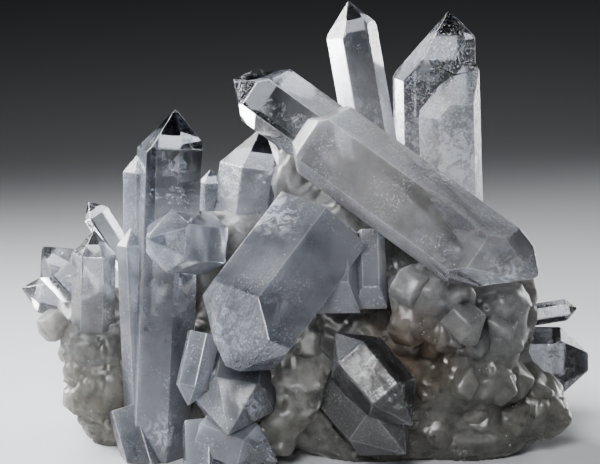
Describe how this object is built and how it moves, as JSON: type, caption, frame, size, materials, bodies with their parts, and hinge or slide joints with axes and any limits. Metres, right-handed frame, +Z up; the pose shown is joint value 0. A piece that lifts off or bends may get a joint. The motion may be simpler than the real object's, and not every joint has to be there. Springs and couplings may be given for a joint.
{
  "type": "quartz crystal cluster",
  "caption": "Natural cluster of clear and milky quartz crystals with pointed ends, grown together on a lumpy milky base with a flat underside.",
  "frame": {"origin": "middle of the bounding box's underside, on the flat broken face that the cluster rests on", "axes": "+X to the right along the cluster's length, -Y towards its front, where the large crystals point, +Z up"},
  "size_m": [0.192, 0.1136, 0.1465],
  "materials": {
    "base": "lumpy milky quartz, satin, warm brown stain in the hollows",
    "back_crystals": "milky quartz, glossy flat faces",
    "centre_crystals": "milky quartz, glossy flat faces",
    "diagonal_crystals": "clear quartz, glossy flat faces",
    "front_small_crystals": "clear quartz, glossy flat faces",
    "left_blunt_crystal": "milky quartz, glossy flat faces",
    "left_clear_crystal": "clear quartz, glossy flat faces",
    "left_column": "milky quartz, glossy flat faces",
    "left_dark_crystal": "clear quartz, glossy flat faces",
    "left_end_crystal": "clear quartz, glossy flat faces",
    "lower_front_crystals": "milky quartz, glossy flat faces",
    "rear_left_crystal": "milky quartz, glossy flat faces",
    "rear_pair": "milky quartz, glossy flat faces",
    "rear_right_crystal": "milky quartz, glossy flat faces",
    "right_block_crystal": "clear quartz, glossy flat faces",
    "right_small_crystal": "clear quartz, glossy flat faces",
    "tall_pair": "clear quartz, glossy flat faces",
    "top_crystal": "clear quartz, glossy flat faces"
  },
  "bodies": {
    "root": {"base": "base", "back_crystals": "back_crystals", "centre_crystals": "centre_crystals", "diagonal_crystals": "diagonal_crystals", "front_small_crystals": "front_small_crystals", "left_blunt_crystal": "left_blunt_crystal", "left_clear_crystal": "left_clear_crystal", "left_column": "left_column", "left_dark_crystal": "left_dark_crystal", "left_end_crystal": "left_end_crystal", "lower_front_crystals": "lower_front_crystals", "rear_left_crystal": "rear_left_crystal", "rear_pair": "rear_pair", "rear_right_crystal": "rear_right_crystal", "right_block_crystal": "right_block_crystal", "right_small_crystal": "right_small_crystal", "tall_pair": "tall_pair", "top_crystal": "top_crystal"}
  },
  "joints": []
}
